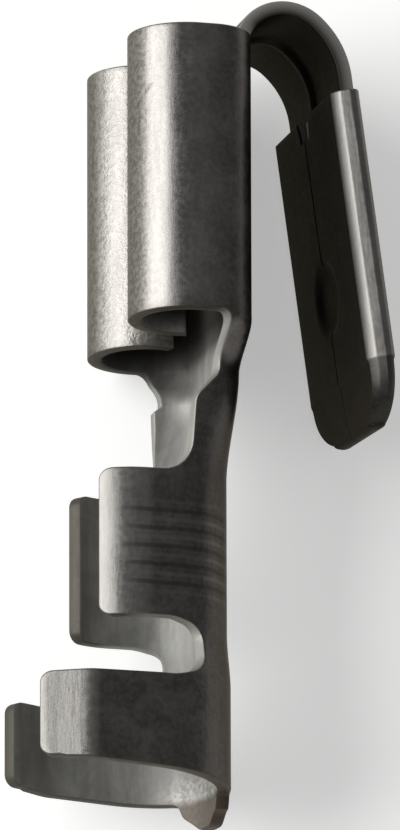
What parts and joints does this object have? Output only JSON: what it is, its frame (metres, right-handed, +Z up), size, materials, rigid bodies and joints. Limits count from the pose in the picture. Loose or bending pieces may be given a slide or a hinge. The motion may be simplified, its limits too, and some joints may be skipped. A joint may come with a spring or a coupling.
{
  "type": "female spade terminal with piggyback male tab",
  "caption": "Crimp-on female spade terminal for the common quarter-inch tab, with a piggyback male tab folded from the same tinned brass sheet, lying on its side.",
  "frame": {"origin": "on the bench, under the middle of the part's box", "axes": "+Y along the terminal towards its mouth, +X towards the male tab, +Z up"},
  "size_m": [0.0104, 0.0226, 0.0076],
  "materials": {
    "tinned_brass": "dull tin plate over brass sheet"
  },
  "bodies": {
    "root": {"terminal": "tinned_brass"}
  },
  "joints": []
}
